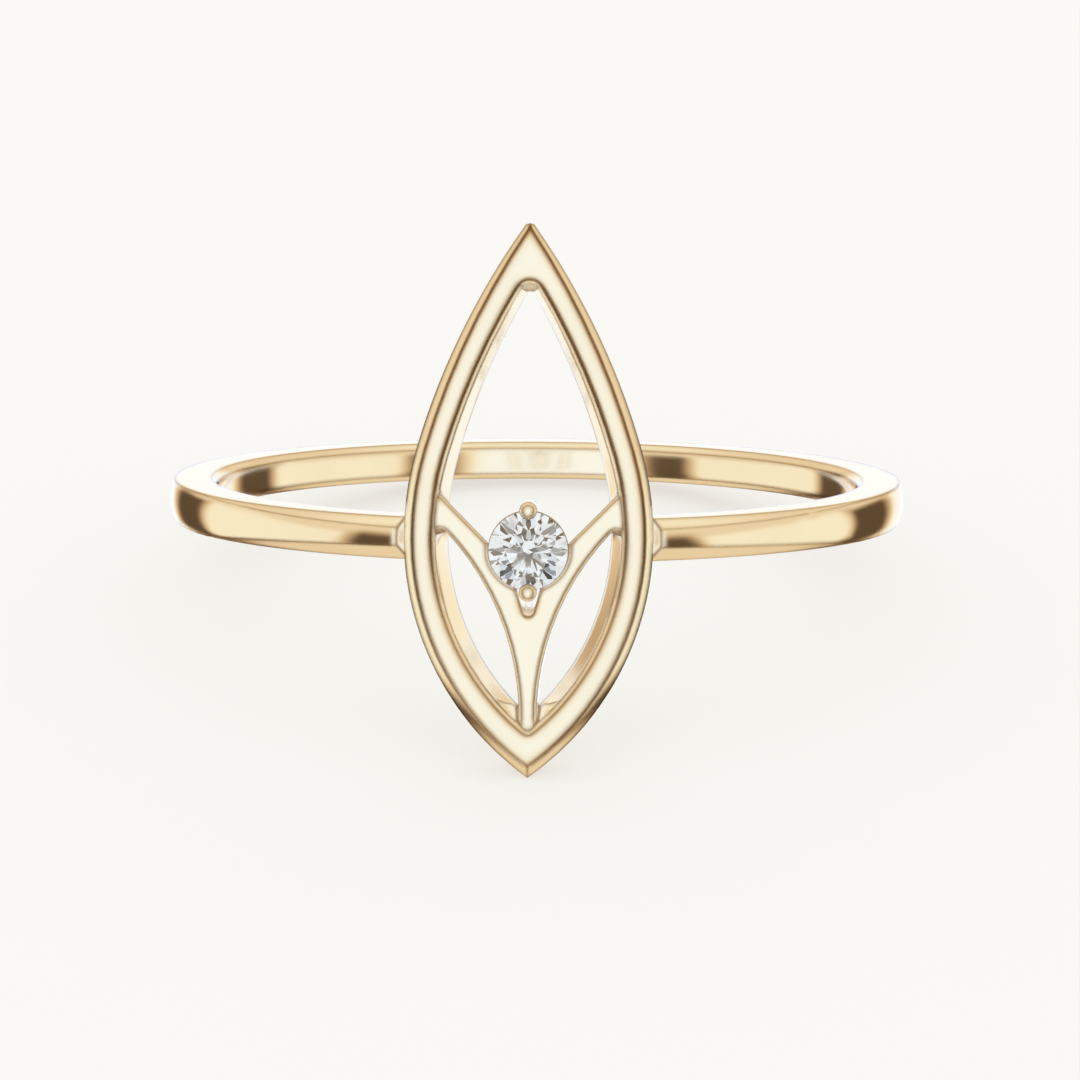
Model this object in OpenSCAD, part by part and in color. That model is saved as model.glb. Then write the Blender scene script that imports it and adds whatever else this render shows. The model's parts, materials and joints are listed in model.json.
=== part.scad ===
// Navette ring: a plain band ends at the two sides of an open, boat-shaped frame.
// A Y-shaped web inside the frame carries one round brilliant between two prongs.
// Every piece is drawn on the ring itself: X across the finger, Z along the finger,
// and -Y to the front, where the frame stands. The finished ring is then laid on its
// side, so that it rests on the frame's lower point and on the back of the band.
// All sizes are in millimetres and degrees. The origin is the middle of the finger hole.

/* [Band] */
// Inside diameter of the band, the ring size
finger_d = 17.3; // [15:0.1:18.5]
// Width of the band along the finger
band_w = 1.08; // [0.9:0.02:1.6]
// Thickness of the band at the middle of its outer face
band_t = 1.27; // [1.05:0.01:1.8]
// How far the outer face swells past its own edges
band_dome = 0.1; // [0.05:0.01:0.15]
// Bevel along both inner edges
band_ease = 0.17; // [0.05:0.01:0.25]
// Upper bevel of the shoulder, where the band meets the frame
shoulder_top = 0.18; // [0.08:0.01:0.3]
// Lower bevel of the shoulder
shoulder_bottom = 0.31; // [0.1:0.01:0.4]
// Bevel across the end of the band, beside the frame
shoulder_end = 0.2; // [0.1:0.01:0.35]
// Angle from the front at which the shoulder bevels run out
shoulder_fade = 60; // [40:1:85]

/* [Navette frame] */
// Width of the frame across the finger
frame_w = 6.2; // [5.8:0.1:6.6]
// Depth of the lower point under the middle of the band, before it is rounded
tip_down = 5.98; // [5.8:0.01:6.6]
// Height of the widest place over the middle of the band
waist_up = 0.1; // [0:0.05:0.4]
// Radius of the upper outline beside the widest place
waist_r = 8; // [7:0.25:9]
// Radius of the flatter run from there to the upper point
run_r = 18.15; // [17.5:0.05:19]
// Radius of this run along the front face's outer edge
face_run_r = 20; // [19:0.05:21]
// Radius of this run along the opening
opening_run_r = 18.2; // [17.5:0.05:19]
// Height of the frame's front over the finger
frame_h = 1.24; // [1.1:0.01:1.6]
// Gap between the finger and the back of the frame
frame_relief = 0.17; // [0.16:0.01:0.25]
// Width of the outer bevel, which is as deep as it is wide
outer_bevel = 0.21; // [0.14:0.01:0.26]
// Width of the front face between its two bevels
face_w = 0.47; // [0.38:0.01:0.54]
// Depth of the lower point of the front face's outer edge
face_down = 5.61; // [5.4:0.01:5.7]
// Depth of the opening's lower point
opening_down = 4.76; // [4.6:0.01:4.9]
// Width of the inner bevel, which is as deep as it is wide
inner_bevel = 0.11; // [0.09:0.01:0.15]
// Lean of the outer and inner walls towards the opening, from front to back
wall_lean = 12.5; // [6:0.1:14]
// Rounding of the two points, seen from the front
tip_round = 0.12; // [0.06:0.01:0.2]
// Rounding at the upper point of the opening, along the face's edge
apex_round = 0.36; // [0.26:0.01:0.4]
// Rounding at the lower point of the opening, along the face's edge
low_round = 0.22; // [0.18:0.01:0.3]

/* [Web] */
// How far the web lies behind the edge of the frame's front face
web_recess = 0.08; // [0.05:0.01:0.08]
// Height at which the arms leave the frame, over the middle of the band
arm_up = 1.33; // [1.05:0.02:1.65]
// Slope of the upper edge of the arms
arm_slope = 45.5; // [40:0.5:50]
// Lean of the arms' upper walls, from front to back
arm_lean = 7.5; // [5:0.5:10]
// Width of the leg's face where it is narrowest
leg_w = 0.3; // [0.24:0.01:0.4]
// Depth of the narrowest place of the leg under the middle of the band
leg_down = 4.4; // [4:0.05:4.6]
// Radius of the hollow lower edges of the web
web_edge_r = 6.9; // [6.5:0.05:7.6]
// Bevel along the edges of the web
web_bevel = 0.07; // [0.04:0.01:0.12]
// Lean of the web's walls
web_lean = 2.5; // [1:0.5:4]
// Rounding over the arms, where they meet the frame, along the face's edge
over_round = 0.24; // [0.2:0.01:0.3]
// Width of the slope in this corner, which is as deep as it is wide
over_slope = 0.17; // [0.1:0.01:0.18]
// Rounding under the arms, where the hollow edges meet the frame, along the face's edge
under_round = 0.21; // [0.17:0.01:0.3]
// Radius of the round foot of the leg
foot_r = 0.14; // [0.12:0.01:0.16]
// Depth of the centre of this round under the middle of the band
foot_down = 4.55; // [4.5:0.01:4.6]
// Depth of the hollow round the foot, from the face of the web
foot_depth = 0.3; // [0.2:0.02:0.4]
// Half width of the teardrop slot beside the lower prong
slot_half_w = 0.31; // [0.27:0.01:0.36]
// Radius of the slot's lower end
slot_end_r = 0.15; // [0.13:0.01:0.18]
// Length of the slot between the centres of its two rounds
slot_len = 0.52; // [0.4:0.02:0.7]
// How far the slot draws in on each side, from its edge to its back
slot_taper = 0.1; // [0.04:0.01:0.11]

/* [Stone and setting] */
// Diameter of the round brilliant
stone_d = 1.96; // [1.8:0.02:2.1]
// Depth of the stone's middle under the middle of the band
stone_down = 0.17; // [0:0.01:0.3]
// Height of the girdle over the face of the web
girdle_up = 0.2; // [0.12:0.01:0.26]
// Height of the girdle's own band
girdle_t = 0.05; // [0.04:0.01:0.08]
// Table, as a share of the diameter
table_share = 0.56; // [0.52:0.01:0.62]
// Slope of the crown's main facets
crown_slope = 34.5; // [31:0.5:36]
// Slope of the pavilion's main facets
pavilion_slope = 40.7; // [39.5:0.1:41.8]
// Gap between the stone and the metal
stone_gap = 0.02; // [0.01:0.005:0.04]
// Diameter of the two prongs
prong_d = 0.44; // [0.38:0.01:0.52]
// How far a prong's top stands over the girdle's upper edge
prong_up = 0.26; // [0.2:0.01:0.34]
// Bevel round the flat top of a prong
prong_bevel = 0.075; // [0.04:0.005:0.1]
// How far a prong reaches in over the stone
prong_reach = 0.18; // [0.1:0.01:0.24]
// How far the cup's edge lies behind the girdle
cup_drop = 0.06; // [0.05:0.01:0.12]
// How far the cup's edge stands out past the girdle
cup_out = 0.02; // [0:0.01:0.05]
// How much the cup draws in towards its back
cup_taper = 0.3; // [0.2:0.01:0.32]
// Radius of the light hole behind the stone
light_hole_r = 0.5; // [0.35:0.01:0.55]
// Width of the groove in the web round the cup
groove_w = 0.1; // [0.06:0.01:0.16]
// Depth of this groove
groove_depth = 0.12; // [0.06:0.01:0.16]

/* [Hidden] */
$fn = 180;
// Extra length of a cut past the face that it opens
over = 0.2;
// How far one solid is sunk into the next so that they fuse
root = 0.05;
// How far a round corner bites into its two walls, so that it meets them in clear edges
bite = 0.008;
// Half size of a block that is meant to hold everything
far = 30;

finger_r = finger_d / 2;
half_band = band_w / 2;
band_edge_r = finger_r + band_t - band_dome;
head_r = finger_r + frame_relief;
half_frame = frame_w / 2;
rim_w = outer_bevel + face_w + inner_bevel;

// Three lenses make the frame: its outline, the outer edge of its front face, and its opening.
// Above the waist the side of a lens is one arc and then a flatter one. They meet where their
// radii lie along this direction, which is exactly 1 long. Under the waist it is one arc.
turn_way = [0.96, 0.28];
near_centre = [half_frame - waist_r, waist_up];
face_near_r = waist_r - outer_bevel;
opening_near_r = waist_r - rim_w;
run_centre = near_centre - (run_r - waist_r) * turn_way;
opening_centre = near_centre - (opening_run_r - opening_near_r) * turn_way;
tip_turn = acos(-run_centre[0] / run_r);
tip_up = run_centre[1] + run_r * sin(tip_turn);
low_r = low_radius(waist_r, tip_down);
low_centre = low_middle(waist_r, low_r);
low_turn = acos(-low_centre[0] / low_r);
opening_low_r = low_radius(opening_near_r, opening_down);
opening_low_centre = low_middle(opening_near_r, opening_low_r);

// Levels are distances in front of the middle of the finger
face_level = finger_r + frame_h;
wall_level = face_level - outer_bevel;
inner_level = face_level - inner_bevel;
web_level = face_level - web_recess;
back_level = neat(sqrt(head_r * head_r - half_frame * half_frame) - over);

// The hollow beside the leg, and the straight upper edge of an arm
leg_centre = [leg_w / 2 + web_edge_r, -leg_down];
hollow_r = web_edge_r - web_bevel;
arm_line = arm_up - (half_frame - rim_w) * tan(arm_slope);
arm_way = [cos(arm_slope), sin(arm_slope)];
arm_down = [sin(arm_slope), -cos(arm_slope)];

// The brilliant: heights are over the lower edge of the girdle
stone_r = stone_d / 2;
// The star facets reach this share of the way from the table to the girdle
star_share = 0.5;
// The lower girdle facets reach this share of the way to the culet
lower_share = 0.77;
// The circle is divided into this many parts, in step with the 8 main facets
girdle_steps = 64;
table_r = stone_r * table_share;
table_h = girdle_t + (stone_r - table_r) * tan(crown_slope);
star_in = table_r * cos(22.5);
star_r = star_in + star_share * (stone_r - star_in);
star_h = girdle_t + (stone_r - star_r * cos(22.5)) * tan(crown_slope);
lower_r = stone_r * (1 - lower_share);
lower_h = (lower_r * cos(22.5) - stone_r) * tan(pavilion_slope);
culet_h = -stone_r * tan(pavilion_slope);
girdle_level = web_level + girdle_up;
prong_level = girdle_level + girdle_t + prong_up;
prong_r = prong_d / 2;
prong_out = stone_r - prong_reach + prong_r;
cup_level = girdle_level - cup_drop;
cup_r = stone_r + cup_out;

// The ring rests on the back of the band and on the lower point of the frame. That is the
// rounded point at the front or the sharp one at the back, whichever reaches lower.
front_tip = tip_down - tip_round * (1 / sin(low_turn) - 1);
back_tip_r = low_r - (wall_level - head_r) * tan(wall_lean);
back_tip = sqrt(back_tip_r * back_tip_r - low_centre[0] * low_centre[0]) - waist_up;
rest_tilt = max(
    atan((front_tip - half_band) / (band_edge_r + wall_level)),
    atan((back_tip - half_band) / (band_edge_r + head_r))
);

function neat(x) = round(x * 10000) / 10000;
function unit(v) = v / norm(v);
// The arc under the waist of a lens, from its radius beside the waist and its lower point's depth
function low_radius(near_r, down) =
    let (half = near_centre[0] + near_r, h = waist_up + down) neat((h * h + half * half) / (2 * half));
function low_middle(near_r, r) = [near_centre[0] + near_r - r, waist_up];
function backwards(list) = [for (i = [len(list) - 1:-1:0]) list[i]];
// Where the line from p along the unit vector way leaves the circle of radius r at c
function line_out(p, way, c, r) =
    let (t = (p - c) * way) p + way * (sqrt(t * t - (p - c) * (p - c) + r * r) - t);
// The upper of the two points where two circles cross, with the second centre on the left
function circles_up(c1, r1, c2, r2) =
    let (l = norm(c2 - c1), u = (c2 - c1) / l, along = (l * l + r1 * r1 - r2 * r2) / (2 * l))
    c1 + u * along + [u[1], -u[0]] * sqrt(r1 * r1 - along * along);
// Height at [x, y] of the plane through three points
function plane_h(a, b, c, x, y) =
    let (n = cross(b - a, c - a)) a[2] - (n[0] * (x - a[0]) + n[1] * (y - a[1])) / n[2];
function round_at(turn, r, h) = [r * cos(turn), r * sin(turn), h];

// Turns and places a shape whose own Z is the distance in front of the finger's middle
module facing(x, z) {
    translate([x, 0, z]) rotate([90, 0, 0]) children();
}

module both_sides() {
    children();
    mirror([1, 0, 0]) children();
}

// Keeps what lies to the right of the ring's mirror plane
module right_half() {
    intersection() {
        children();
        translate([0, -far, -far]) cube([far, 2 * far, 2 * far]);
    }
}

module band_section() {
    outside = finger_r + band_t;
    dome_r = (half_band * half_band + band_dome * band_dome) / (2 * band_dome);
    intersection() {
        polygon([
            [finger_r, -half_band + band_ease], [finger_r, half_band - band_ease],
            [finger_r + band_ease, half_band], [outside, half_band],
            [outside, -half_band], [finger_r + band_ease, -half_band]
        ]);
        translate([outside - dome_r, 0]) circle(dome_r);
    }
}

// A cone set off-centre, so that it bites at the front and runs out round the sides
module shoulder_cut(bevel) {
    front_turn = asin(half_frame / band_edge_r);
    shift = bevel / (cos(front_turn) - cos(shoulder_fade));
    cut_r = norm([band_edge_r * sin(shoulder_fade), shift + band_edge_r * cos(shoulder_fade)]);
    translate([0, shift, 0]) rotate_extrude() polygon([
        [cut_r - over, half_band + over], [cut_r + 1, half_band + over], [cut_r + 1, half_band - 1]
    ]);
}

// A slanted plane across the end of the band, beside the frame
module end_cut() {
    x = half_frame + shoulder_end;
    level = sqrt(pow(band_edge_r + band_dome, 2) - x * x);
    translate([x, -level, -band_w]) rotate([0, 0, 135]) translate([-1, 0, 0]) cube([4, 3, 2 * band_w]);
}

module band() {
    inside = half_frame - 0.75 * rim_w;
    difference() {
        rotate_extrude() band_section();
        shoulder_cut(shoulder_top);
        mirror([0, 0, 1]) shoulder_cut(shoulder_bottom);
        both_sides() end_cut();
        translate([-inside, -far, -band_w]) cube([2 * inside, far, 2 * band_w]);
    }
}

// A round solid about centre. Its side is a list of [distance outside radius r, level].
module turned(centre, r, side) {
    facing(centre[0], centre[1]) rotate_extrude() polygon(concat(
        [[0, side[0][1]]], [for (p = side) [r + p[0], p[1]]], [[0, side[len(side) - 1][1]]]
    ));
}

// The wedge at a centre, between two directions
module stretch(centre, from, to) {
    facing(centre[0], centre[1]) linear_extrude(far) polygon([[0, 0], from * far, to * far]);
}

// The right half of a lens: three round solids, each kept over its own stretch
module half_lens(near_r, flat_r, down, side) {
    flat_centre = near_centre - (flat_r - near_r) * turn_way;
    under_r = low_radius(near_r, down);
    under_centre = low_middle(near_r, under_r);
    right_half() {
        intersection() {
            turned(near_centre, near_r, side);
            stretch(near_centre, [1, 0], turn_way);
        }
        intersection() {
            turned(flat_centre, flat_r, side);
            stretch(flat_centre, turn_way, [0.28, 0.96]);
        }
        intersection() {
            turned(under_centre, under_r, side);
            stretch(under_centre, [0, -1], [1, 0]);
        }
    }
}

module frame() {
    lean = tan(wall_lean);
    outer_side = [
        [-neat((wall_level - back_level) * lean), back_level], [neat(outer_bevel * lean), face_level]
    ];
    bevel_side = [[2, face_level - 2], [-over, face_level + over]];
    opening_side = [
        [-neat((inner_level - back_level + over) * lean), back_level - over], [0, inner_level],
        [inner_bevel + over, face_level + over]
    ];
    both_sides() difference() {
        intersection() {
            half_lens(waist_r, run_r, tip_down, outer_side);
            half_lens(face_near_r, face_run_r, face_down, bevel_side);
        }
        half_lens(opening_near_r, opening_run_r, opening_down, opening_side);
    }
    upper_corner();
    lower_corner();
}

// What lies outside a round of radius r in a point of the outline at height z
module point_cut(z, half_turn, r, up) {
    side = r / tan(half_turn);
    facing(0, z) linear_extrude(far) difference() {
        polygon([
            [0, up * over], [side * sin(half_turn), -up * side * cos(half_turn)],
            [-side * sin(half_turn), -up * side * cos(half_turn)]
        ]);
        translate([0, -up * r / sin(half_turn)]) circle(r);
    }
}

// Fills the corner between two walls and rounds it off. The round's edge on the face has
// radius r at centre, and the walls touch it on the sides that the unit vectors a and b point to.
module corner_fill(centre, a, b, r, bevel, low, high) {
    out = unit(a + b);
    wall_r = r - bevel;
    tip = out * (r / (a * out) + 4 * root);
    facing(centre[0], centre[1]) difference() {
        translate([0, 0, low]) linear_extrude(high - low)
            polygon([a * wall_r / 2, a * (r + root), tip, b * (r + root), b * wall_r / 2]);
        translate([0, 0, low - over]) cylinder(high - low, wall_r + bite, wall_r + bite);
        translate([0, 0, high - bevel])
            cylinder(bevel + over, wall_r + bite, wall_r + bite + bevel + over);
    }
}

// The rounded corners at the upper and the lower point of the opening
module upper_corner() {
    room_r = opening_run_r + inner_bevel - apex_round;
    aside = opening_centre[0];
    centre = [0, opening_centre[1] + sqrt(room_r * room_r - aside * aside)];
    a = unit(centre - opening_centre);
    corner_fill(centre, a, [-a[0], a[1]], apex_round, inner_bevel, head_r - root, face_level);
}

module lower_corner() {
    room_r = opening_low_r + inner_bevel - low_round;
    aside = opening_low_centre[0];
    centre = [0, opening_low_centre[1] - sqrt(room_r * room_r - aside * aside)];
    a = unit(centre - opening_low_centre);
    corner_fill(centre, a, [-a[0], a[1]], low_round, inner_bevel, head_r - root, face_level);
}

// The web before its edges are cut: all that lies under the arms. Its sides and its foot are
// sunk into the frame's wall.
module web_plate() {
    inset_r = opening_low_r + rim_w / 2;
    inset_turn = acos(-opening_low_centre[0] / inset_r);
    side_points = [for (i = [0:8]) opening_low_centre
        + inset_r * [cos(inset_turn * i / 8), -sin(inset_turn * i / 8)]];
    top = line_out([0, arm_line + over], arm_way, near_centre, waist_r - rim_w / 2);
    points = concat([top], side_points);
    linear_extrude(web_level) polygon(concat(
        [[0, arm_line + over]], points, backwards([for (p = points) [-p[0], p[1]]])
    ));
}

// What lies over an arm: its upper wall leans back under its edge
module arm_cut() {
    right_half() facing(0, arm_line) rotate([0, 0, arm_slope]) translate([-far / 2, 0, web_level])
        rotate([-arm_lean, 0, 0]) translate([0, 0, -far / 2]) cube([far, 5, far]);
}

// The bevel along an arm's upper edge
module arm_bevel() {
    facing(0, arm_line) rotate([0, 0, arm_slope]) translate([0, -web_bevel, web_level])
        rotate([-45, 0, 0]) cube([far, 1, 1]);
}

// The hollow beside the leg, under an arm
module hollow() {
    low = back_level - over;
    depth = web_level - web_bevel - low;
    facing(leg_centre[0], leg_centre[1]) {
        translate([0, 0, low]) cylinder(depth, hollow_r - depth * tan(web_lean), hollow_r);
        translate([0, 0, web_level - web_bevel])
            cylinder(web_bevel + over, hollow_r, web_edge_r + over);
    }
}

// The rounded corners where the arms meet the frame, over and under an arm
module arm_corners() {
    over_wall_r = over_round - over_slope;
    over_arm = line_out([0, arm_line] - arm_down * over_wall_r, arm_way, near_centre,
        opening_near_r - over_wall_r);
    corner_fill(over_arm, unit(over_arm - near_centre), arm_down, over_round, over_slope,
        back_level, web_level);
    under_wall_r = under_round - web_bevel;
    under_arm = circles_up(leg_centre, hollow_r - under_wall_r, opening_low_centre,
        opening_low_r - under_wall_r);
    corner_fill(under_arm, unit(under_arm - leg_centre), unit(under_arm - opening_low_centre),
        under_round, web_bevel, back_level, web_level);
}

// The hollow that sets the round foot of the leg off from the frame
module foot_room() {
    low = web_level - foot_depth;
    facing(0, -foot_down) difference() {
        translate([-0.6, -0.6, low]) cube([1.2, 0.6, foot_depth + over]);
        translate([0, 0, low - over])
            cylinder(foot_depth + over - web_bevel, foot_r + web_bevel, foot_r + web_bevel);
        translate([0, 0, web_level - web_bevel]) cylinder(web_bevel, foot_r + web_bevel, foot_r);
    }
}

// The teardrop round the lower prong: a big round, a small round and the wedge between them
module slot() {
    low = head_r - root;
    rise = web_level - low;
    end = [0, -slot_len];
    turn = asin((slot_half_w - slot_end_r) / slot_len);
    side = [cos(turn), -sin(turn)];
    side_left = [-side[0], side[1]];
    function edges(change) = [
        side * (slot_half_w - bite + change), side_left * (slot_half_w - bite + change),
        end + side_left * (slot_end_r - bite + change), end + side * (slot_end_r - bite + change)
    ];
    function at_level(points, level) = [for (p = points) [p[0], p[1], level]];
    // The cut runs on past the web's face by over, at the same slope
    top = over * slot_taper / rise;
    facing(0, -stone_down - prong_out) {
        translate([0, 0, low])
            cylinder(rise + over, slot_half_w - slot_taper, slot_half_w + top);
        translate([0, -slot_len, low])
            cylinder(rise + over, slot_end_r - slot_taper, slot_end_r + top);
        polyhedron(
            concat(at_level(edges(-slot_taper), low), at_level(edges(top), web_level + over)),
            [[0, 1, 2, 3], [7, 6, 5, 4], [0, 4, 5, 1], [1, 5, 6, 2], [2, 6, 7, 3], [3, 7, 4, 0]]
        );
    }
}

// The groove that sets the cup off from the web
module groove() {
    facing(0, -stone_down) translate([0, 0, web_level - groove_depth])
        cylinder(groove_depth + over, cup_r - root, cup_r + groove_w + over);
}

module web() {
    difference() {
        rotate([90, 0, 0]) web_plate();
        both_sides() {
            hollow();
            arm_cut();
            arm_bevel();
        }
        foot_room();
        slot();
        groove();
    }
    both_sides() arm_corners();
}

module prong() {
    depth = prong_level - prong_bevel - web_level + 2 * over;
    translate([0, 0, web_level - 2 * over]) cylinder(depth, prong_r, prong_r);
    translate([0, 0, prong_level - prong_bevel])
        cylinder(prong_bevel, prong_r, prong_r - prong_bevel);
}

// The cup that the stone sits in, with its two prongs
module setting() {
    facing(0, -stone_down) {
        translate([0, 0, head_r - root])
            cylinder(cup_level - head_r + root, cup_r - cup_taper, cup_r);
        translate([0, prong_out, 0]) prong();
        translate([0, -prong_out, 0]) prong();
    }
}

// The room for the stone: its outline turned round once and grown by the gap
module stone_room() {
    under = stone_gap / cos(pavilion_slope);
    above = stone_gap / cos(crown_slope);
    facing(0, -stone_down) {
        translate([0, 0, girdle_level]) rotate_extrude() polygon([
            [0, culet_h - under], [lower_r, lower_h - under],
            [stone_r + stone_gap, stone_gap * tan(pavilion_slope) - under],
            [stone_r + stone_gap, girdle_t + above - stone_gap * tan(crown_slope)],
            [star_r, star_h + above], [table_r, table_h + above], [0, table_h + above]
        ]);
        cylinder(girdle_level + culet_h + over, light_hole_r, light_hole_r);
    }
}

// The back of the head follows the finger
module finger_room() {
    translate([0, 0, -far]) cylinder(2 * far, head_r, head_r);
}

module head() {
    difference() {
        union() {
            frame();
            web();
            setting();
        }
        stone_room();
        finger_room();
        point_cut(tip_up, tip_turn, tip_round, 1);
        point_cut(-tip_down, low_turn, tip_round, -1);
    }
}

// Lays the upright ring on its side
module laid() {
    rotate([-rest_tilt, 0, 0]) children();
}

module ring_body() {
    color("goldenrod") laid() {
        band();
        head();
    }
}

module round_brilliant() {
    step = 360 / girdle_steps;
    eighth = girdle_steps / 8;
    half = eighth / 2;
    function top(i) = i % girdle_steps;
    function bottom(i) = girdle_steps + i % girdle_steps;
    function table(k) = 2 * girdle_steps + k % 8;
    function star(k) = 2 * girdle_steps + 8 + k % 8;
    function lower(k) = 2 * girdle_steps + 16 + k % 8;
    culet = 2 * girdle_steps + 24;
    star_tip = round_at(22.5, star_r, star_h);
    lower_tip = round_at(22.5, lower_r, lower_h);
    // The girdle facets are flat, so the girdle's edges dip between their ends
    function folded(i) = let (m = i % eighth) min(m, eighth - m);
    function edge_h(tip, h, i) = let (p = round_at(folded(i) * step, stone_r, h))
        plane_h(tip, round_at(0, stone_r, h), round_at(22.5, stone_r, h), p[0], p[1]);
    points = concat(
        [for (i = [0:girdle_steps - 1]) round_at(i * step, stone_r, edge_h(star_tip, girdle_t, i))],
        [for (i = [0:girdle_steps - 1]) round_at(i * step, stone_r, edge_h(lower_tip, 0, i))],
        [for (k = [0:7]) round_at(45 * k, table_r, table_h)],
        [for (k = [0:7]) round_at(45 * k + 22.5, star_r, star_h)],
        [for (k = [0:7]) round_at(45 * k + 22.5, lower_r, lower_h)],
        [[0, 0, culet_h]]
    );
    faces = concat(
        [[for (k = [7:-1:0]) table(k)]],
        [for (k = [0:7]) [table(k), table(k + 1), star(k)]],
        [for (k = [0:7]) [table(k), star(k), top(eighth * k), star(k + 7)]],
        [for (k = [0:7]) for (s = [0, half])
            concat([star(k)], [for (i = [half:-1:0]) top(eighth * k + s + i)])],
        [for (i = [0:girdle_steps - 1]) [top(i), top(i + 1), bottom(i + 1), bottom(i)]],
        [for (k = [0:7]) for (s = [0, half])
            concat([lower(k)], [for (i = [0:half]) bottom(eighth * k + s + i)])],
        [for (k = [0:7]) [culet, lower(k + 7), bottom(eighth * k), lower(k)]]
    );
    color("aliceblue") laid() facing(0, -stone_down) translate([0, 0, girdle_level])
        polyhedron(points, faces);
}

ring_body();
round_brilliant();
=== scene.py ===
# %% [markdown]
# # A navette ring: polish, stone and light
# The ring arrives as finished solids: one piece of soldered gold and one round brilliant. This
# lesson gives both their finish, lays them on a pale card, and sets up the light and the camera.
# The shapes stay as they were built. With polished metal nearly all of the look comes from what
# the metal has to reflect, so most of the work is there.

# %% Load the ring
import json
import math

import bpy
from mathutils import Matrix, Vector


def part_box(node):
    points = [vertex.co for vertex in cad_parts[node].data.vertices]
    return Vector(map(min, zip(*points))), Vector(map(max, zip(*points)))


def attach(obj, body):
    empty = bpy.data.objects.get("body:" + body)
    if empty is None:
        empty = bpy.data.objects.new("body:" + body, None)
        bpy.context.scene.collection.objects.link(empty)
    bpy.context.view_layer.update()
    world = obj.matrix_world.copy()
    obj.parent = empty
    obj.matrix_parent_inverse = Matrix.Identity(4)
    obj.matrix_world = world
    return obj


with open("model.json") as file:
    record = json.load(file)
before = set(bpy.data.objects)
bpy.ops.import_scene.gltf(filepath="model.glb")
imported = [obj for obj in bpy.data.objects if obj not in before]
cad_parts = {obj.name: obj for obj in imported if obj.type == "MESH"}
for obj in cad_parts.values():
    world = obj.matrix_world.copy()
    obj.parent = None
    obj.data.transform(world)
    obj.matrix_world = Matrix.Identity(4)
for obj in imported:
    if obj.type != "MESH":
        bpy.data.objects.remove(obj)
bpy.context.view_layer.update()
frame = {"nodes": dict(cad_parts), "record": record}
gold_ring = frame["nodes"]["ring_body"]
brilliant = frame["nodes"]["round_brilliant"]

# %% [markdown]
# ## Two sets of directions
# A jeweller thinks of the ring standing up: X across the finger, Z along it, and the stone facing
# -Y. At rest it leans on the lower point of the frame and the back of the band, so all of it is
# turned by nearly sixteen degrees about X. How far exactly is read from the frame, where the axis
# of the finger hole is the ring's own Z. Places that belong to the ring are easier to give in the
# first way, and one small function turns them into the second.

# %% From the upright ring to the ring at rest
MM = 0.001
finger_axis = frame["record"]["mounts"][0]["axis"]
rest_tilt = math.atan2(finger_axis[1], finger_axis[2])


def at_rest(x, y, z):
    """A point or direction of the upright ring, as it is when the ring lies on its side."""
    c, s = math.cos(rest_tilt), math.sin(rest_tilt)
    return Vector((x, y * c + z * s, z * c - y * s))


floor_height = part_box("ring_body")[0].z
print("the ring rests at", round(floor_height / MM, 3), "mm, turned by",
      round(math.degrees(rest_tilt), 3), "degrees")

# %% [markdown]
# ## The camera
# Rings are shot with a long lens, a little above the plane of the band and almost straight in
# front of the stone. A long lens flattens the ring, so the distance was worked out from how much
# smaller the back of the band looks than its front, and the focal length from the ring's size in
# the picture. The camera also leans by a third of a degree, which is why it gets its own axes
# here and not a plain "look at".

# %% Place the camera
DISTANCE = 108.6  # mm from the middle of the finger
ABOVE_BAND = math.radians(6.813)
SIDEWAYS = math.radians(1.206)
ROLL = math.radians(0.335)
AIM = (0.0883, 0, -1.2107)  # mm, on the upright ring

eye = at_rest(
    DISTANCE * math.sin(SIDEWAYS) * math.cos(ABOVE_BAND),
    -DISTANCE * math.cos(SIDEWAYS) * math.cos(ABOVE_BAND),
    DISTANCE * math.sin(ABOVE_BAND),
) * MM
look = (at_rest(*AIM) * MM - eye).normalized()
level = look.cross(at_rest(0, 0, 1)).normalized()
upright = level.cross(look)
picture_right = level * math.cos(ROLL) + upright * math.sin(ROLL)
picture_up = upright * math.cos(ROLL) - level * math.sin(ROLL)
turned_to_ring = Matrix((picture_right, picture_up, -look)).transposed().to_4x4()

camera = bpy.data.objects.new("camera", bpy.data.cameras.new("camera"))
bpy.context.scene.collection.objects.link(camera)
camera.matrix_world = Matrix.Translation(eye) @ turned_to_ring
camera.data.sensor_width = 36
camera.data.lens = 133.07
camera.data.clip_start = 0.005
camera.data.clip_end = 20
bpy.context.scene.camera = camera
print("camera", [round(v / MM, 2) for v in eye], "mm, lens", camera.data.lens)

# %% [markdown]
# ## Shader maths as plain expressions
# A finish is a small sum: this much roughness, and a little more where a slow noise is high. By
# hand that takes one node for each sign. Here a `Signal` wraps a socket and knows the signs, so a
# sum can be written as it is said. A Math node would turn a colour grey, so colours go through
# `mix` and directions through Vector Math. `Nodes` adds any other node from its type, its
# settings and the values or links of its sockets.

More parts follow.
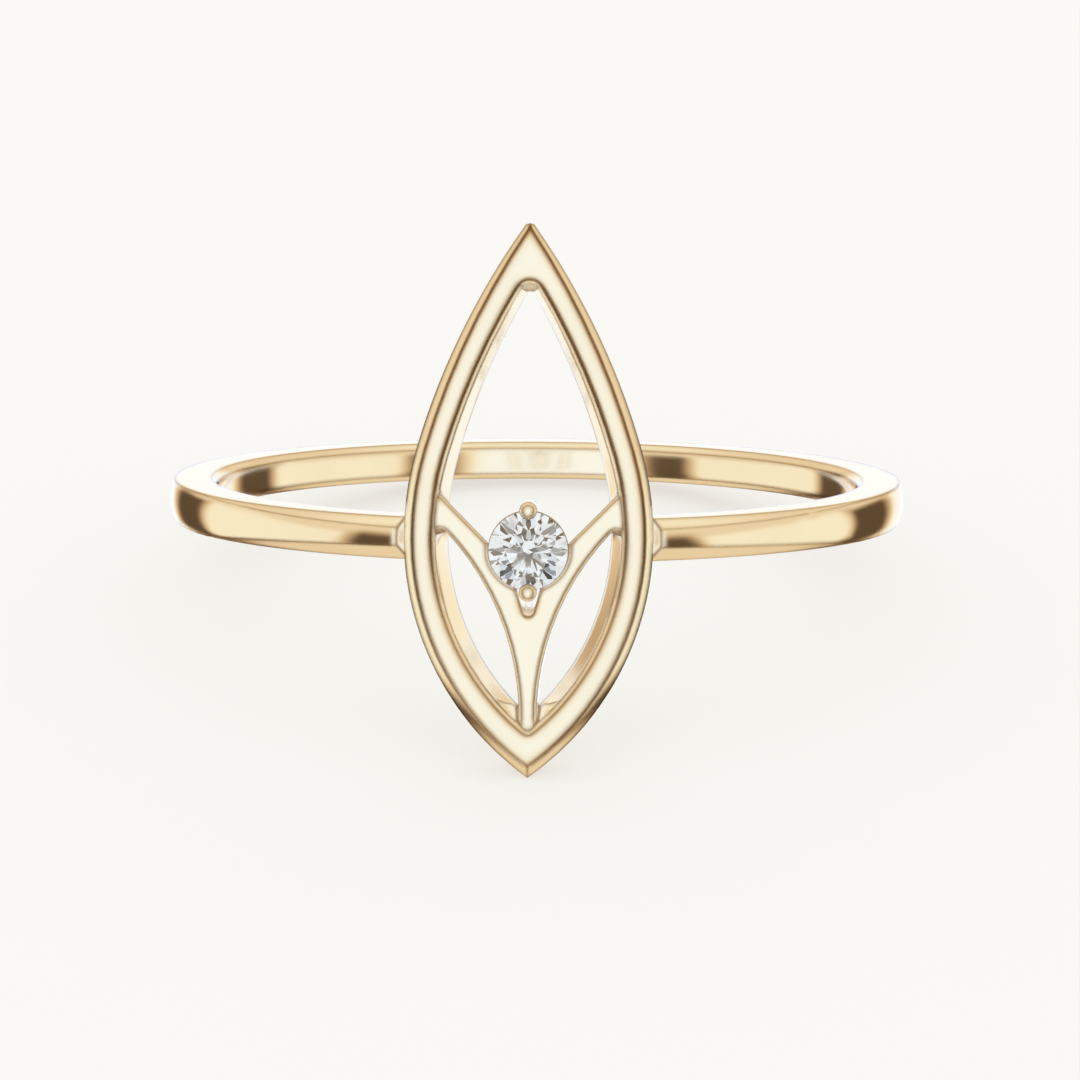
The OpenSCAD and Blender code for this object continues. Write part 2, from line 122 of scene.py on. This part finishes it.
# %% Signals and nodes
class Signal:
    """A number, a colour or a direction on its way through the nodes."""

    def __init__(self, nodes, socket):
        self.nodes, self.socket = nodes, socket

    def math(self, operation, *others):
        return self.nodes.calculate(operation, self, *others)

    def __add__(self, other):
        return self.math("ADD", other)

    def __sub__(self, other):
        return self.math("SUBTRACT", other)

    def __rsub__(self, other):
        return self.nodes.calculate("SUBTRACT", other, self)

    def __mul__(self, other):
        return self.math("MULTIPLY", other)

    def __truediv__(self, other):
        return self.math("DIVIDE", other)

    __radd__ = __add__
    __rmul__ = __mul__

    def rises(self, low, high):
        """0 below low, 1 above high, and a soft step between."""
        return self.nodes.add("ShaderNodeMapRange", {"interpolation_type": "SMOOTHSTEP"},
                              {"Value": self, "From Min": low, "From Max": high})

    def along(self, way):
        """How far a place or a direction goes along way, which is 1 long."""
        return self.nodes.add("ShaderNodeVectorMath", {"operation": "DOT_PRODUCT"},
                              {0: self, 1: way}, output="Value")


class Nodes:
    """The node tree of one material, or of the surroundings."""

    def __init__(self, owner):
        owner.use_nodes = True
        self.tree = owner.node_tree
        self.tree.nodes.clear()

    def add(self, kind, settings=None, sockets=None, output=0):
        node = self.tree.nodes.new(kind)
        for name, value in (settings or {}).items():
            if name == "stops":
                self.set_stops(node.color_ramp.elements, value)
            else:
                setattr(node, name, value)
        for name, value in (sockets or {}).items():
            if isinstance(value, Signal):
                self.tree.links.new(value.socket, node.inputs[name])
            else:
                node.inputs[name].default_value = value
        return Signal(self, node.outputs[output] if node.outputs else None)

    def set_stops(self, elements, stops):
        while len(elements) < len(stops):
            elements.new(1)
        for element, (position, colour) in zip(elements, stops):
            element.position, element.color = position, colour

    def calculate(self, operation, *values):
        return self.add("ShaderNodeMath", {"operation": operation}, dict(enumerate(values)))

    def mix(self, share, low, high):
        """The colour that turns from low to high as share goes from 0 to 1."""
        return self.add("ShaderNodeMix", {"data_type": "RGBA"},
                        {0: share, 6: low, 7: high}, output=2)


print("helpers ready")

# %% [markdown]
# ## Polished gold: where the front face is
# The frame's front face is rounded more than the rest, and it carries a painted tan shade and the
# deepest painted reflection lines, so the material has to know where it is. The solid has one
# surface and one material slot, and painting a mask on it by hand would be lost with the next
# change of a size. The face is flat and lies at one distance in front of the finger, so that
# distance is measured at each point, and the face is a thin layer of it. The layer's sides are
# soft, and it ends before the bevels behind it and the prongs in front of it.

# %% Find the front face
FACE_FRONT = 9.89  # mm in front of the middle of the finger

gold = bpy.data.materials.new("polished_gold")
nodes = Nodes(gold)
place = nodes.add("ShaderNodeTexCoord", output="Object")
in_front = place.along(at_rest(0, -1, 0)) / MM
on_face = in_front.rises(FACE_FRONT - 0.07, FACE_FRONT - 0.02) * (
    1 - in_front.rises(FACE_FRONT + 0.01, FACE_FRONT + 0.04))
print("the face lies", FACE_FRONT, "mm in front of the finger")

# %% [markdown]
# ## Polished gold: the buffing
# Mirror-polished gold has little colour of its own: it tints what it reflects. The alloy here is
# a pale yellow one of 14 karat. What tells a buffed ring from a computer's is small: the wheel
# leaves faint clouds in the gloss and very fine lines, and it rounds every edge a little, the
# front face most. The round is a tenth or two of a millimetre. Fillets on so many meeting edges
# are slow to build and break easily, so a Bevel node bends the shading across each edge instead.

# %% Buffed surface
PALE_GOLD = (0.92, 0.75, 0.51, 1)
WARM_GOLD = (0.90, 0.73, 0.49, 1)
EDGE_ROUND = 0.32  # mm, the reach of the rounding
FACE_ROUND = 0.2  # mm more of it on the front face

clouds = nodes.add("ShaderNodeTexNoise", {}, {"Vector": place, "Scale": 420.0, "Detail": 3.0})
lines = nodes.add("ShaderNodeTexNoise", {}, {"Vector": place, "Scale": 5200.0, "Detail": 2.0})
worn = clouds.rises(0.35, 0.7)
wheel_round = nodes.add("ShaderNodeBevel", {"samples": 8},
                        {"Radius": (EDGE_ROUND + FACE_ROUND * on_face) * MM})
relief = nodes.add("ShaderNodeBump", {}, {
    "Strength": 0.04, "Distance": 0.002 * MM, "Height": lines + clouds, "Normal": wheel_round})
buffed = nodes.mix(worn, PALE_GOLD, WARM_GOLD)
print("buffing has", len(nodes.tree.nodes), "nodes")

# %% [markdown]
# ## Polished gold: painted reflection lines and shade
# A rounded edge turns quickly from one panel of light to the next, and shows the dark between
# them as a thin brown line. Render noise washes such a line out, so it is painted into the colour
# as a painted reflection: where the normal round about an edge differs from the surface's own,
# the gold turns brown. The edges of the front face have the deepest painted lines, most of all
# above the band, with a painted tan shade beside them for the face's rounding. Behind the face,
# round the upper end of the opening, the edges lie so close that lines would close up to a dark
# ring, so the gold stays plain there.

# %% Painted reflection lines and shade along the edges
# painted colours: tan for the painted shade on the face, browns for the painted reflection lines
FACE_SHADE_TAN = (0.74, 0.49, 0.22, 1)
EDGE_REFLECTION_BROWN = (0.32, 0.17, 0.065, 1)
DEEP_REFLECTION_BROWN = (0.18, 0.07, 0.016, 1)
LINE_ROUND = 0.17  # mm
OPENING_END = (0, -9.0, 6.5)  # mm, on the upright ring

own_normal = nodes.add("ShaderNodeNewGeometry", output="Normal")
near_edge = 1 - wheel_round.along(own_normal)
nearest_edge = 1 - nodes.add("ShaderNodeBevel", {"samples": 8},
                             {"Radius": LINE_ROUND * MM}).along(own_normal)
height_on_ring = place.along(at_rest(0, 0, 1)) / MM
from_end = nodes.add("ShaderNodeVectorMath", {"operation": "DISTANCE"},
                     {0: place, 1: at_rest(*OPENING_END) * MM}, output="Value") / MM
kept_plain = (1 - from_end.rises(0.6, 1.1)) * (1 - on_face)  # mm from the opening's end
full_above_band = 0.35 + 0.65 * height_on_ring.rises(-3, 1)  # mm on the upright ring

# painted tan shade on the face, then painted brown reflection lines along the edges, laid into
# the base colour
# each step starts and ends where the normal has turned so far: 0 is flat, 0.3 is half a corner
painted_tan_shade = near_edge.rises(0, 0.05) * on_face * 0.75
painted_edge_reflection = nearest_edge.rises(0.004, 0.05) * (1 - kept_plain) * 0.8
painted_deep_reflection = nearest_edge.rises(0.0008, 0.014) * on_face * full_above_band * 0.92
with_painted_shade = nodes.mix(painted_tan_shade, buffed, FACE_SHADE_TAN)
with_painted_lines = nodes.mix(painted_deep_reflection, nodes.mix(painted_edge_reflection, with_painted_shade, EDGE_REFLECTION_BROWN), DEEP_REFLECTION_BROWN)
print("lines added,", len(nodes.tree.nodes), "nodes")

# %% [markdown]
# ## Polished gold: the shader
# Metal needs no more than a colour, a roughness and a normal. Metallic is 1, so the colour tints
# the reflection itself. All metal turns white when it is seen at a grazing angle, and the
# specular tint says how white. A warm one keeps the rims of the band from looking like steel.

# %% Put the gold together
GRAZING_GOLD = (1.0, 0.91, 0.8, 1)

# the base colour carries the painted shade and the painted reflection lines
metal = nodes.add("ShaderNodeBsdfPrincipled", {}, {
    "Base Color": with_painted_lines,
    "Metallic": 1.0,
    "Specular Tint": GRAZING_GOLD,
    "Roughness": 0.07 + worn * 0.03,
    "Normal": relief,
})
nodes.add("ShaderNodeOutputMaterial", {}, {"Surface": metal})
gold_ring.data.materials.clear()
gold_ring.data.materials.append(gold)
print("gold on", gold_ring.name, "with", len(nodes.tree.nodes), "nodes")

# %% [markdown]
# ## The round brilliant
# A diamond is clear and bends light more than any glass, 2.417 against about 1.5. Its facets send
# most of the light that enters the table back out through the crown. That is the sparkle, so the
# facets and the index do the work, and the finish stays plain: nearly colourless, with the
# faintest drag lines from the polishing wheel. The outside of the stone mirrors the same panels
# as the gold does, and they are bluish where they are bright, so its mirror gets a warm tint
# that makes them white again.

# %% Cut and polished stone
WHITE_MIRROR = (1.0, 0.76, 0.5, 1)

diamond = bpy.data.materials.new("clear_diamond")
nodes = Nodes(diamond)
place = nodes.add("ShaderNodeTexCoord", output="Object")
drag = nodes.add("ShaderNodeTexNoise", {}, {"Vector": place, "Scale": 3000.0, "Detail": 1.0})
tone = nodes.add("ShaderNodeTexNoise", {}, {"Vector": place, "Scale": 900.0, "Detail": 1.0})
relief = nodes.add("ShaderNodeBump", {}, {
    "Strength": 0.02, "Distance": 0.001 * MM, "Height": drag})
stone = nodes.add("ShaderNodeBsdfPrincipled", {}, {
    "Base Color": nodes.mix(tone, (0.98, 0.98, 0.975, 1), (1.0, 0.995, 0.985, 1)),
    "Roughness": 0.0,
    "IOR": 2.417,
    "Transmission Weight": 1.0,
    "Specular Tint": WHITE_MIRROR,
    "Normal": relief,
})
nodes.add("ShaderNodeOutputMaterial", {}, {"Surface": stone})
brilliant.data.materials.clear()
brilliant.data.materials.append(diamond)
print("diamond on", brilliant.name, "with", len(nodes.tree.nodes), "nodes")

# %% [markdown]
# ## The card
# Jewellery is mostly shown on white card, lit until it is nearly as bright as the light itself.
# The card is a plane at the height where the frame's lower point and the back of the band touch
# it. It returns four tenths of the light that falls on it and glows by itself for the other six,
# which keeps the shadows faint without more lamps. The gold doesn't reflect it, so that the gold
# shows only the panels set up for it.

# %% Lay the white card
HALF_CARD = 1.5  # m
GLOW = 0.6  # share of the card's light that it gives off by itself

card = bpy.data.meshes.new("white_card")
card.from_pydata([(x * HALF_CARD, y * HALF_CARD, floor_height)
                  for x, y in ((-1, -1), (1, -1), (1, 1), (-1, 1))], [], [(0, 1, 2, 3)])
white_card = bpy.data.objects.new("white_card", card)
bpy.context.scene.collection.objects.link(white_card)
white_card.visible_glossy = False

paper = bpy.data.materials.new("matt_white_card")
nodes = Nodes(paper)
grain = nodes.add("ShaderNodeTexNoise", {}, {"Scale": 900.0, "Detail": 4.0})
lit_paper = nodes.add("ShaderNodeBsdfPrincipled", {}, {
    "Base Color": nodes.mix(grain, (0.392, 0.384, 0.344, 1), (0.396, 0.388, 0.348, 1)),
    "Roughness": 1.0,
    "Specular IOR Level": 0.0,
    "Emission Color": (0.932, 0.928, 0.94, 1),
    "Emission Strength": GLOW,
})
nodes.add("ShaderNodeOutputMaterial", {}, {"Surface": lit_paper})
card.materials.append(paper)
print("card at", round(floor_height / MM, 3), "mm")

# %% [markdown]
# ## The surroundings
# Polished metal is lit by showing it things: a white panel in front for the cream front faces,
# one on each side for the bevels, one behind for the walls, and dark cards between them. Real
# panels and cards would do, but they would hide the ring from some sides and have to be moved
# again and again. Here they are painted on the surroundings by direction, as soft-edged patches
# of more or less light over dark cards below and white walls above.

# %% Directions round the ring
world = bpy.data.worlds.new("studio")
bpy.context.scene.world = world
nodes = Nodes(world)
DEGREE = math.pi / 180
direction = nodes.add("ShaderNodeTexCoord", output="Generated")
east = direction.along((1, 0, 0))
south = direction.along((0, -1, 0))
turn = east.math("ARCTAN2", south)  # 0 in front of the stone, and positive to the right
rise = direction.along((0, 0, 1)).math("ARCSINE")


def over(degrees, soft=5):
    """1 over this height above the horizon, and 0 under it."""
    return rise.rises((degrees - soft) * DEGREE, (degrees + soft) * DEGREE)


def panel(left, right, low, high, soft=5):
    """A soft-edged patch of the surroundings, from left to right and from low to high."""
    middle, half = (left + right) / 2 * DEGREE, (right - left) / 2
    aside = (turn - middle).math("WRAP", -math.pi, math.pi).math("ABSOLUTE")
    inside = 1 - aside.rises((half - soft) * DEGREE, (half + soft) * DEGREE)
    return inside * over(low, soft) * (1 - over(high, soft))


print("directions ready")

# %% [markdown]
# ## The panels
# Each panel has a left, right, low and high edge, in degrees as the ring sees them, and a light.
# What shows on the band is as much the gaps as the panels. The gaps beside the front panel draw
# the dark patches next to the frame, and the gaps beside the panel at the back draw those at the
# band's ends. The two sides differ a little, because no two patches on a real band are alike.
# A dimmer strip on top of a panel fills the dark up to the white wall. Later panels cover
# earlier ones.

# %% Set up the panels
DARK_CARDS = 0.1
WHITE_WALLS = 0.86  # from 12 degrees up
CEILING_BEHIND = 0.25  # from 48 degrees up behind the ring, and straight above it
WHITE_TABLE = 0.85  # more than 50 degrees down
BROAD_PANEL = 1.4  # panels brighter than this are large and have softer edges
PANELS = (  # left, right, low and high edge in degrees, then the light
    (-37, 29, -46, 40, 1.43),
    (-124, -58, -40, 10, 1.25), (-124, -58, 8, 24, 1.0),
    (51, 114, -38, 10, 1.25), (51, 114, 8, 22, 1.0),
    (144, 208, -38, 2, 1.42), (116, 236, 0, 16, 1.0),
)

light = DARK_CARDS + over(12, 8) * WHITE_WALLS
light = light + over(48, 14) * CEILING_BEHIND * (1 - panel(-90, 90, -90, 76, 20))
light = light + (1 - over(-50)) * WHITE_TABLE
for left, right, low, high, strength in PANELS:
    soft = 8 if strength > BROAD_PANEL else 5
    light = light + (strength - light) * panel(left, right, low, high, soft)
print("painted", len(PANELS), "panels")

# %% [markdown]
# ## How bright light turns pale
# In a photograph bright gold is nearly white and dark gold is deep brown, because film lets the
# brightest colour wash out. The plain view transform doesn't, so the light itself follows such a
# curve for the gold. As the light grows, each colour of the gold closes in on full strength, red
# first and blue last, and near the top all three wash out to white. That is one formula with an
# exponent for each colour, worked out at even steps and held by a ramp. It gives the colour that
# should show, so it is divided by the gold's own. Light that has met gold twice comes out of
# corners and off the frame's back. It is given one even tone that ends up cream, so that the
# inner walls and the band's back stay clean.

# %% The light that gold sees
BRIGHTEST = 1.6  # level at the ramp's right end
RAMP_STEPS = 30
RAMP_SCALE = 3.0  # the ramp holds a third of each colour, to stay below 1
SHOWN_GREEN = 0.65  # the green that shows at level 1
FULLNESS = (1.75, 1, 0.46)  # how early red, green and blue close in on full strength
WASH_OUT = 16  # the higher, the nearer to the top they turn white
CORNER_LIGHT = (1.14, 1.56, 2.65, 1)


def film_light(level):
    """Red, green and blue of the light in which the gold shows as it does on film."""
    green = min(level * SHOWN_GREEN, 1)
    washed = green ** WASH_OUT
    shown = [1 - (1 - green) ** full for full in FULLNESS]
    return [(part + (green - part) * washed) / own for part, own in zip(shown, PALE_GOLD)]


stops = []
for step in range(RAMP_STEPS + 1):
    share = step / RAMP_STEPS
    red, green, blue = (part / RAMP_SCALE for part in film_light(share * BRIGHTEST))
    stops.append((share, (red, green, blue, 1)))
film = nodes.add("ShaderNodeValToRGB", {"stops": stops}, {0: light / BRIGHTEST})
first_sight = nodes.add("ShaderNodeVectorMath", {"operation": "SCALE"},
                        {0: film, "Scale": RAMP_SCALE})
meetings = nodes.add("ShaderNodeLightPath", output="Glossy Depth")
gold_sees = nodes.mix(meetings.math("GREATER_THAN", 1.5), first_sight, CORNER_LIGHT)
print("light coloured with", len(stops), "stops")

# %% [markdown]
# ## What makes the stone sparkle
# A stone under one large white panel looks like glass. It needs contrast: many lamps with dark
# room between them, and the dark round of the lens, which draws the star of dark facets in its
# middle. The stone therefore sees its own grey surroundings, broken up by a noise.

# %% The light that the stone sees
room = nodes.add("ShaderNodeTexNoise", {}, {"Vector": direction, "Scale": 5.0, "Detail": 2.0})
lens = panel(-17, 17, 6, 38, 6)
sparkle = room.rises(0.36, 0.5) * (1 - lens * 0.95)
stone_sees = nodes.mix(sparkle, (0.06, 0.06, 0.06, 1), (1.05, 1.04, 1.02, 1))
print("stone's surroundings painted")

# %% [markdown]
# ## One studio for card, gold and stone
# Card, gold and stone each need surroundings of their own. A photographer would light them one
# after the other and join the pictures. A Light Path node does it in one render, because it knows
# whether a ray comes from a reflection or from inside the stone. A ray that is bent into the
# stone counts as both, so the stone's question is asked last and wins. The view transform is the
# plain one, since the film's curve is in the light already.

# %% Switch on the studio
CARD_LIGHT = (1.01, 1.01, 1.01, 1)

in_gold = nodes.add("ShaderNodeLightPath", output="Is Glossy Ray")
in_stone = nodes.add("ShaderNodeLightPath", output="Is Transmission Ray")
seen = nodes.mix(in_stone, nodes.mix(in_gold, CARD_LIGHT, gold_sees), stone_sees)
sky = nodes.add("ShaderNodeBackground", {}, {"Color": seen, "Strength": 1.0})
nodes.add("ShaderNodeOutputWorld", {}, {"Surface": sky})
bpy.context.scene.view_settings.view_transform = "Standard"
print("studio has", len(nodes.tree.nodes), "nodes")

# %% [markdown]
# ## Ride on one body
# Nothing was added to the ring. A ring has no moving parts, so the gold and the stone both ride
# on its one body.

# %% Ride on one body
for piece in (gold_ring, brilliant):
    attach(piece, "root")
